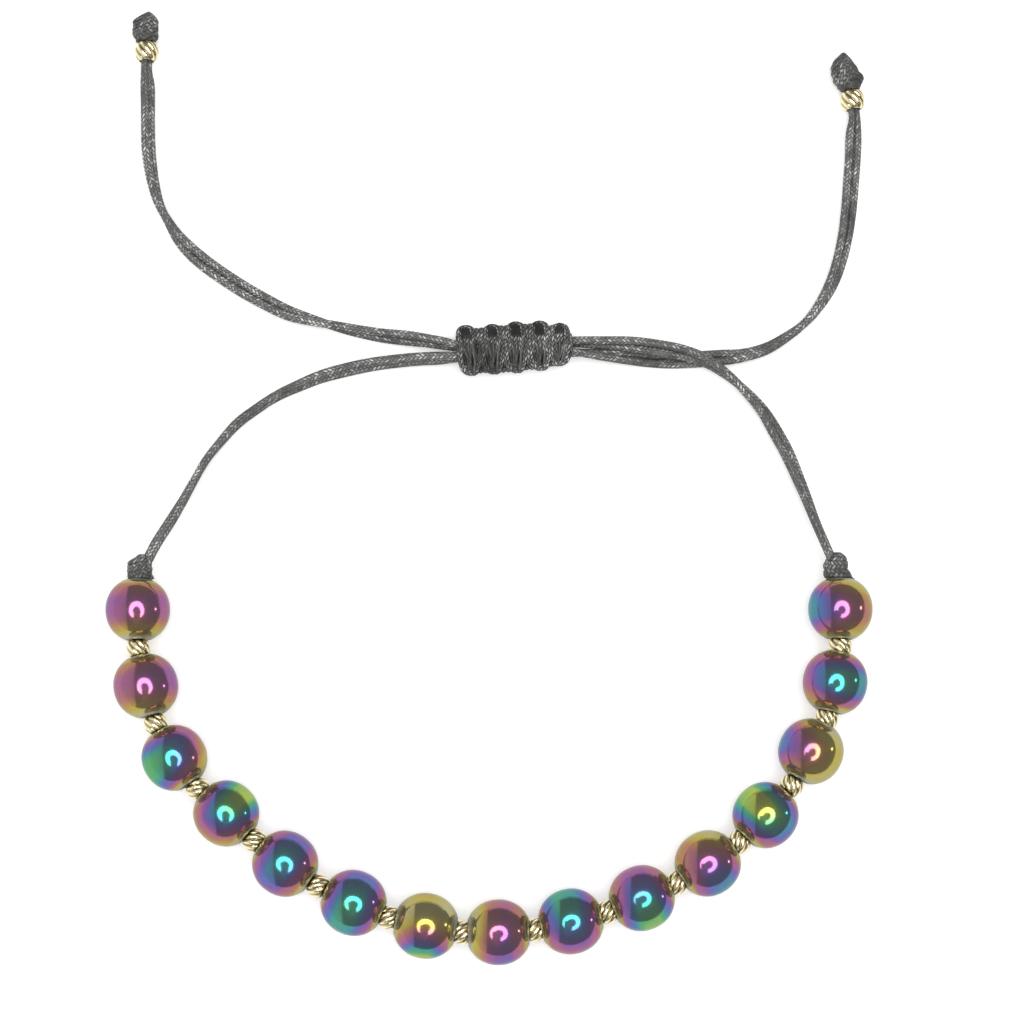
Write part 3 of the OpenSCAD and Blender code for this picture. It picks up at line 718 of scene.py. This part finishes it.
# For each bead, the coating's thickness at the middle, left, right, far and near side
FILMS = [
    (2.0, 2.3, 2.0, 1.9, 1.1), (2.0, 1.9, 2.1, 2.1, 1.2), (3.5, 3.8, 1.0, 2.7, 3.4),
    (3.7, 1.6, 4.0, 3.8, 1.2), (3.4, 2.7, 2.2, 2.4, 1.9), (3.7, 3.8, 3.2, 2.4, 3.0),
    (1.1, 1.6, 1.3, 1.2, 5.0), (2.0, 0.5, 2.2, 1.7, 2.5), (3.4, 4.2, 3.2, 3.3, 1.7),
    (3.3, 2.5, 3.6, 2.0, 4.2), (2.2, 2.1, 3.0, 0.6, 3.1), (4.4, 3.6, 3.2, 4.4, 2.3),
    (1.5, 3.3, 0.9, 1.3, 1.1), (3.6, 1.7, 3.0, 2.2, 1.8), (2.1, 3.5, 1.2, 1.5, 1.9),
]
for i, film in enumerate(FILMS):
    made = round_bead_skin(bead_middles[i], bead_headings[i], film)
    piece(f"round_bead_{i + 1:02d}", made, coating_finish, "bead_coating", f"bead_{i + 1:02d}", mark="film")

# ---------------------------------------------------------------- the slider, five flat knots in a row
# For each knot, how far along its far and its near loop lie, and how far out each reaches
LOBES = [(-4.5, -4.12, 2.44, 2.49), (-1.98, -1.97, 2.4, 2.46), (0.24, 0.2, 2.53, 2.46),
         (2.48, 2.45, 2.5, 2.36), (4.36, 4.2, 2.18, 2.0)]
# Between two knots, how far the crossing windings stay inside the shorter far loop. On the near side they
# stay NEAR_NOTCH and a third of that inside. CROSS_LEAN is how far each leans.
NOTCHES, NEAR_NOTCH, CROSS_LEAN = (0.24, 0.12, 0.18, 0.12), 0.18, 0.24
# How far the cords between a knot's legs lie from its middle, and how far the slider's ends reach
CORE_OFF, END_REACH = 0.17, 5.35
LOOP_R = 0.34


def slider_windings():
    """Rows along, across, up and plainness for each cord that is wound into the slider, and whether it
    closes. Each knot has a loop over its far edge, whose legs run over the top to the near edge, a loop
    over its near edge, whose arms reach up outside the legs, and two cords between the legs. Towards the
    far edge these two are marked 2, which paints shade on them. Between two knots, two windings cross
    on their way round, and one more goes round each end of the slider."""
    windings = []
    for far_x, near_x, far, near in LOBES:
        f, n, mid = far - LOOP_R, near - LOOP_R, (far_x + near_x) / 2
        leg = [[near_x + 0.18, -n + 0.1, 1.2, 1], [near_x + 0.26, -n + 0.28, 2.0, 1],
               [near_x + 0.36, -1.15, 2.42, 1], [mid + 0.48, -0.35, 2.66, 0.6], [far_x + 0.6, 0.5, 2.7, 0],
               [far_x + 0.64, 1.3, 2.4, 0], [far_x + 0.45, f - 0.16, 2.1, 0.2], [far_x, f, 2.0, 0.2]]
        other = [[2 * far_x - x if k > 3 else (2 * mid if k == 3 else 2 * near_x) - x, *rest]
                 for k, (x, *rest) in enumerate(leg)]
        windings.append((other + leg[-2::-1], False))
        arm = [[near_x, -n, 1.95, 0], [near_x + 0.42, -n + 0.06, 2.1, 0], [near_x + 0.8, -n + 0.5, 2.55, 0],
               [near_x + 0.97, -0.6, 2.74, 0], [near_x + 1.02, 0.2, 2.6, 0], [near_x + 0.98, 0.9, 2.25, 0]]
        windings.append(([[2 * near_x - x, *rest] for x, *rest in arm[:0:-1]] + arm, False))
        # Towards the far edge the marks of 2 paint shade on these cords, under the far loop
        for side in (-CORE_OFF, CORE_OFF):
            windings.append(([
                [far_x + side, f - 0.06, 1.4, 2], [far_x + side, f - 0.28, 2.16, 2],
                [far_x + side, 1.3, 2.5, 2], [mid + side, 1.0, 2.6, 1.6], [mid + side, 0.8, 2.62, 0.1],
                [mid + side, 0.4, 2.6, 0.1], [mid + side, -0.2, 2.45, 1],
                [near_x + side * 0.7, -1.2, 2.2, 1], [near_x + side * 0.5, -n + 0.2, 1.4, 1]], False))
    for left, right, notch in zip(LOBES[:-1], LOBES[1:], NOTCHES):
        x, f = (left[0] + right[0]) / 2, min(left[2], right[2]) - notch - LOOP_R
        n = min(left[3], right[3]) - NEAR_NOTCH - notch / 3 - LOOP_R
        shift = (left[1] + right[1]) / 2 - x
        for lean in (-CROSS_LEAN, CROSS_LEAN):
            windings.append(([
                [x + lean, f - 0.2, 2.25], [x + lean * 0.6, 1.0, 2.45], [x, 0.3, 2.5 + 0.1 * lean],
                [x + shift - lean * 0.6, -0.7, 2.4], [x + shift - lean, -n + 0.2, 2.0],
                [x + shift - lean, -n, 1.4], [x + shift - lean, -n + 0.5, 0.6], [x + shift, -0.3, 0.4],
                [x, 0.6, 0.4], [x + lean, f - 0.5, 0.6], [x + lean, f, 1.5]], True))
    for end, f, n in ((-1, 1.55, 0.95), (1, 1.05, 0.75)):
        x = end * (END_REACH - LOOP_R)
        windings.append(([[x, f - 0.4, 2.1], [x, 0.6, 2.4], [x, -0.5, 2.4], [x, -n + 0.3, 1.9], [x, -n, 1.2],
                          [x - end * 0.2, -0.6, 0.5], [x - end * 0.2, 0.6, 0.5], [x, f, 1.2]], True))
    return windings


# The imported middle: half its length, where its ends would close, half its width, half its height, and how
# high its axis lies
PACKED_HALF, PACKED_TIP, PACKED_WIDE, PACKED_HIGH, PACKED_UP = 5.15, 5.2, 1.9, 1.0, 1.4


def slider_skin():
    """The slider's windings, turned and placed, each a braided tube, round a packed middle. The middle's
    sections are boxes with round corners, which shrink at both ends by a power of the way there."""
    ahead, right = directions(SLIDER_TURN)
    across, origin = -right, np.array([*SLIDER_AT, 0])
    made = []
    for k, (points, loop) in enumerate(slider_windings()):
        local = smooth_rows([[*point, 0][:4] for point in points], WINDING_STEP, 3, loop)
        line = origin + local[:, :1] * ahead + local[:, 1:2] * across + local[:, 2:3] * [0, 0, 1]
        # The top of each cord's rings, where the finish paints its top light, faces away from the middle of
        # the slider
        toward = local[:, 1:2] * 0.5 * across + (local[:, 2:3] - 1.2) * [0, 0, 1]
        made.append(braided_tube(line, toward, LOOP_R, WINDING_SIDES, loop, 70 + k, plain=local[:, 3]))
    t = angles(40)
    s = np.linspace(-PACKED_HALF, PACKED_HALF, 60)
    round_off = (1 - np.abs(s / PACKED_TIP) ** 8)[:, None, None] ** 0.5
    boxy_x, boxy_z = ((np.sign(v) * np.abs(v) ** 0.7)[None, :, None] for v in (np.cos(t), np.sin(t)))
    packed = (origin + s[:, None, None] * ahead + PACKED_WIDE * round_off * boxy_x * across
              + (PACKED_HIGH * round_off * boxy_z + PACKED_UP) * [0, 0, 1])
    made.append(skin(packed, np.append(s, s[-1]), np.ones(packed.shape[:2])))
    return join(made)


piece("wound_slider", slider_skin(), slider_finish, "cord", "slider_knot")


# ---------------------------------------------------------------- floor, lamps and surroundings
def lamp_finish(name, strength):
    """A surface that only shines."""
    f = Finish(name)
    f.node_out(f.node("ShaderNodeEmission", None, {"Color": (1, 1, 1, 1), "Strength": strength}))
    return f.material


def stage_mesh(name, points, faces, finish):
    """A piece of the surroundings, which isn't part of the bracelet."""
    mesh = bpy.data.meshes.new(name)
    mesh.from_pydata(points, [], faces)
    mesh.materials.append(finish)
    made_object = bpy.data.objects.new(name, mesh)
    bpy.context.scene.collection.objects.link(made_object)
    return made_object


FLOOR_HALF = 4.0
f = Finish("white_table")
lit = f.node("ShaderNodeBsdfDiffuse", None, {"Color": (0.86, 0.86, 0.86, 1)})
glow = f.node("ShaderNodeEmission", None, {"Color": (1, 1, 1, 1), "Strength": 0.32})
f.node_out(f.node("ShaderNodeAddShader", None, {0: lit, 1: glow}))
stage_mesh("floor", [(x * FLOOR_HALF, y * FLOOR_HALF, 0) for x, y in ((-1, -1), (1, -1), (1, 1), (-1, 1))],
           [(0, 1, 2, 3)], f.material)

# The ring light overhead: two circles of points, joined by faces of four
RING_AT, RING_IN, RING_OUT = np.array([0.030, -0.168, 1.182]), 0.285, 0.605
turns = np.radians(np.arange(0, 360, 5))
spokes = np.stack([np.cos(turns), np.sin(turns), 0 * turns], -1)
ring_points = np.stack([spokes * RING_IN, spokes * RING_OUT], 1).reshape(-1, 3) + RING_AT
ring_lamp = stage_mesh("ring_lamp", ring_points.tolist(),
                       [(2 * k, 2 * k + 1, (2 * k + 3) % len(ring_points), (2 * k + 2) % len(ring_points))
                        for k in range(len(turns))],
                       lamp_finish("ring_light", 8.0))

# The dark plate between the ring light and the beads. It hides a part of the near side of the ring, so each
# bead shows an arch. PLATE_AT is the middle of its far edge.
PLATE_AT, PLATE_HALF, PLATE_LENGTH, PLATE_TURN = np.array([-0.0146, -0.0381, 0.1907]), 0.0428, 0.26, -4.0
c, s = math.cos(math.radians(PLATE_TURN)), math.sin(math.radians(PLATE_TURN))
plate = stage_mesh("plate", [tuple(PLATE_AT + [x * c - y * s, x * s + y * c, 0]) for x, y in (
    (-PLATE_HALF, 0), (PLATE_HALF, 0), (PLATE_HALF, -PLATE_LENGTH), (-PLATE_HALF, -PLATE_LENGTH))],
                   [(0, 1, 2, 3)], lamp_finish("dark_plate", 0.3))

# The bright window on the left, brightest at its foot: an arch that stands on the table's plane. Each point
# of its edge lies where a sphere, seen from above, reflects it on one straight line, EDGE of the sphere's
# radius from its middle. EDGE_HALF is how far that line runs to each side, in radii too.
EDGE, EDGE_HALF, WINDOW_AT = 0.31, 0.62, 0.4
side = np.linspace(-EDGE_HALF, EDGE_HALF, 41)
upright = np.sqrt(1 - EDGE**2 - side**2)
rise = np.maximum(0, (2 * upright**2 - 1) / (2 * upright * EDGE))
rise[[0, -1]] = 0
arch = [(-WINDOW_AT, s / EDGE * WINDOW_AT, h * WINDOW_AT) for s, h in zip(side, rise)]
f = Finish("window_light")
place = f.node("ShaderNodeTexCoord", None, None, 3)
across = f.node("ShaderNodeSeparateXYZ", None, {0: place}, 1)
height = f.node("ShaderNodeSeparateXYZ", None, {0: place}, 2)
folds = f.node("ShaderNodeCombineXYZ", None, {0: height * 22, 1: across * 2})
drapes = f.node("ShaderNodeTexNoise", {"noise_dimensions": "2D"}, {"Vector": folds, "Scale": 1, "Detail": 2})
f.node_out(f.node("ShaderNodeEmission", None, {"Color": (0.97, 0.98, 1, 1),
                                               "Strength": 1.2 - height * 1.0 + (drapes - 0.5) * 0.7}))
window = stage_mesh("window_arch", arch, [tuple(range(len(arch)))], f.material)
for seen_in_gloss_alone in (ring_lamp, plate, window):
    for hidden in ("visible_camera", "visible_diffuse", "visible_shadow", "visible_transmission"):
        setattr(seen_in_gloss_alone, hidden, False)


def lamp(name, kind, place, aim, power, size, glossy=True):
    """A lamp that points from one place at another. If glossy is false, no reflection shows it."""
    data = bpy.data.lights.new(name, kind)
    data.energy = power
    made_object = bpy.data.objects.new(name, data)
    made_object.location = place
    from_to = np.array(aim, float) - np.array(place, float)
    made_object.rotation_euler = (math.atan2(math.hypot(from_to[0], from_to[1]), -from_to[2]), 0,
                                  math.atan2(-from_to[0], from_to[1]))
    if kind == "AREA":
        data.shape, data.size, data.size_y = "RECTANGLE", size[0], size[1]
    else:
        data.shadow_soft_size = size
    made_object.visible_camera = False
    made_object.visible_glossy = glossy
    bpy.context.scene.collection.objects.link(made_object)


lamp("window_on_the_left", "AREA", (-1.0, 0, 0.64), (0, 0, 0.64), 4.6, (2.4, 1.28), glossy=False)
lamp("small_lamp", "POINT", (1.0, 0.02, 0.31), (0, 0, 0), 1.6, 0.05)
lamp("soft_light_above", "AREA", (0.1, -0.1, 1.1), (0, 0, 0), 9.0, (0.9, 0.9), glossy=False)

# Surroundings: pale where they light the table, and dim where the beads reflect them
world = bpy.data.worlds.new("studio")
bpy.context.scene.world = world
f = Finish("studio", world)
ray = f.node("ShaderNodeLightPath", None, None, "Is Glossy Ray")
dim = f.node("ShaderNodeBackground", None, {"Color": (0.225, 0.222, 0.21, 1), "Strength": 1.0})
pale = f.node("ShaderNodeBackground", None, {"Color": (1, 1, 1, 1), "Strength": 0.55})
f.node_out(f.node("ShaderNodeMixShader", None, {0: ray, 1: pale, 2: dim}), "ShaderNodeOutputWorld")
bpy.context.scene.view_settings.view_transform = "Standard"
